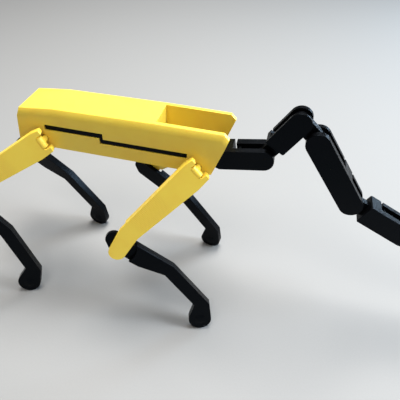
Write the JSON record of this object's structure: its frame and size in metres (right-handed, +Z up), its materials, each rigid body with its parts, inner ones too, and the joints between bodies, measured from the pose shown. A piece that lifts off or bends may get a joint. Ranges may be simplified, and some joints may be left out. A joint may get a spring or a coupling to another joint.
{
  "type": "posable quadruped robot model",
  "caption": "Printed toy of a four-legged robot: a yellow chamfered body on bent black legs, with a jointed arm and gripper reaching out in front.",
  "frame": {"origin": "centre of the flat underside of the body, midway between the two sides", "axes": "+X forwards along the body towards the arm, +Y to the robot's left, +Z up"},
  "size_m": [0.3019, 0.0808, 0.1415],
  "materials": {
    "yellow_plastic": "semi-gloss printed plastic with fine layer lines",
    "black_plastic": "semi-gloss printed plastic with fine layer lines"
  },
  "bodies": {
    "torso": {"body_shell": "yellow_plastic", "side_stripe_right": "black_plastic", "side_stripe_left": "black_plastic", "chassis_plate": "black_plastic", "arm_bracket": "black_plastic", "shoulder_pin": "black_plastic"},
    "knuckle_front_right": {"hip_knuckle_front_right": "yellow_plastic"},
    "thigh_front_right": {"upper_leg_front_right": "yellow_plastic"},
    "shin_front_right": {"lower_leg_front_right": "black_plastic"},
    "knuckle_rear_right": {"hip_knuckle_rear_right": "yellow_plastic"},
    "thigh_rear_right": {"upper_leg_rear_right": "yellow_plastic"},
    "shin_rear_right": {"lower_leg_rear_right": "black_plastic"},
    "knuckle_rear_left": {"hip_knuckle_rear_left": "yellow_plastic"},
    "thigh_rear_left": {"upper_leg_rear_left": "yellow_plastic"},
    "shin_rear_left": {"lower_leg_rear_left": "black_plastic"},
    "knuckle_front_left": {"hip_knuckle_front_left": "yellow_plastic"},
    "thigh_front_left": {"upper_leg_front_left": "yellow_plastic"},
    "shin_front_left": {"lower_leg_front_left": "black_plastic"},
    "arm_shoulder": {"arm_shoulder_link": "black_plastic"},
    "arm_upper": {"arm_upper_link": "black_plastic"},
    "arm_bone": {"arm_elbow_bone": "black_plastic"},
    "arm_forearm": {"arm_forearm_link": "black_plastic"},
    "arm_wrist": {"arm_wrist_link": "black_plastic"},
    "palm": {"gripper_palm": "black_plastic"},
    "jaw": {"gripper_jaw": "black_plastic"}
  },
  "joints": [
    {"name": "hip_pitch_front_right", "type": "hinge", "parent": "torso", "child": "knuckle_front_right", "pos_m": [0.0444, 0, 0.004], "axis": [0, 1, 0], "range_deg": [-30, 35]},
    {"name": "hip_splay_front_right", "type": "hinge", "parent": "knuckle_front_right", "child": "thigh_front_right", "pos_m": [0.0444, -0.0186, 0.004], "axis": [-0.682, 0, 0.7314], "range_deg": [-21, 19]},
    {"name": "knee_front_right", "type": "hinge", "parent": "thigh_front_right", "child": "shin_front_right", "pos_m": [0.00382, -0.04311, -0.04013], "axis": [0.2775, -0.9252, 0.2588], "range_deg": [-60, 12]},
    {"name": "hip_pitch_rear_right", "type": "hinge", "parent": "torso", "child": "knuckle_rear_right", "pos_m": [-0.046, 0, 0.0058], "axis": [0, 1, 0], "range_deg": [-20, 35]},
    {"name": "hip_splay_rear_right", "type": "hinge", "parent": "knuckle_rear_right", "child": "thigh_rear_right", "pos_m": [-0.046, -0.0186, 0.0058], "axis": [-0.4772, 0, 0.8788], "range_deg": [-20, 20]},
    {"name": "knee_rear_right", "type": "hinge", "parent": "thigh_rear_right", "child": "shin_rear_right", "pos_m": [-0.09648, -0.04269, -0.02684], "axis": [0.3278, -0.9278, 0.178], "range_deg": [-60, 16]},
    {"name": "hip_pitch_rear_left", "type": "hinge", "parent": "torso", "child": "knuckle_rear_left", "pos_m": [-0.046, 0, 0.0058], "axis": [0, 1, 0], "range_deg": [-20, 35]},
    {"name": "hip_splay_rear_left", "type": "hinge", "parent": "knuckle_rear_left", "child": "thigh_rear_left", "pos_m": [-0.046, 0.0186, 0.0058], "axis": [0.6293, 0, -0.7771], "range_deg": [-6, 34]},
    {"name": "knee_rear_left", "type": "hinge", "parent": "thigh_rear_left", "child": "shin_rear_left", "pos_m": [-0.09284, 0.02737, -0.03805], "axis": [-0.1055, -0.9907, -0.0854], "range_deg": [-60, 10]},
    {"name": "hip_pitch_front_left", "type": "hinge", "parent": "torso", "child": "knuckle_front_left", "pos_m": [0.0444, 0, 0.004], "axis": [0, 1, 0], "range_deg": [-30, 35]},
    {"name": "hip_splay_front_left", "type": "hinge", "parent": "knuckle_front_left", "child": "thigh_front_left", "pos_m": [0.0444, 0.0186, 0.004], "axis": [0.6198, 0, -0.7848], "range_deg": [-7, 33]},
    {"name": "knee_front_left", "type": "hinge", "parent": "thigh_front_left", "child": "shin_front_left", "pos_m": [-0.00289, 0.02815, -0.03921], "axis": [-0.116, -0.989, -0.0916], "range_deg": [-60, 8]},
    {"name": "arm_shoulder_turn", "type": "hinge", "parent": "torso", "child": "arm_shoulder", "pos_m": [0.0494, 0, 0.0032], "axis": [0, -1, 0], "range_deg": [-20, 40]},
    {"name": "arm_upper_turn", "type": "hinge", "parent": "arm_shoulder", "child": "arm_upper", "pos_m": [0.07836, 0, 0.00826], "axis": [0, -1, 0], "range_deg": [-40, 30]},
    {"name": "arm_bone_turn", "type": "hinge", "parent": "arm_upper", "child": "arm_bone", "pos_m": [0.09394, 0, 0.03319], "axis": [0, -1, 0], "range_deg": [-5, 30]},
    {"name": "arm_forearm_turn", "type": "hinge", "parent": "arm_bone", "child": "arm_forearm", "pos_m": [0.10482, 0, 0.0236], "axis": [0, -1, 0], "range_deg": [-35, 35]},
    {"name": "arm_wrist_turn", "type": "hinge", "parent": "arm_forearm", "child": "arm_wrist", "pos_m": [0.13025, 0, -0.01219], "axis": [0, -1, 0], "range_deg": [-50, 30]},
    {"name": "gripper_tilt", "type": "hinge", "parent": "arm_wrist", "child": "palm", "pos_m": [0.1644, 0, -0.02884], "axis": [0, -1, 0], "range_deg": [-40, 30]},
    {"name": "gripper_jaw_turn", "type": "hinge", "parent": "palm", "child": "jaw", "pos_m": [0.17981, 0, -0.02718], "axis": [0, -1, 0], "range_deg": [-14, 25]}
  ]
}
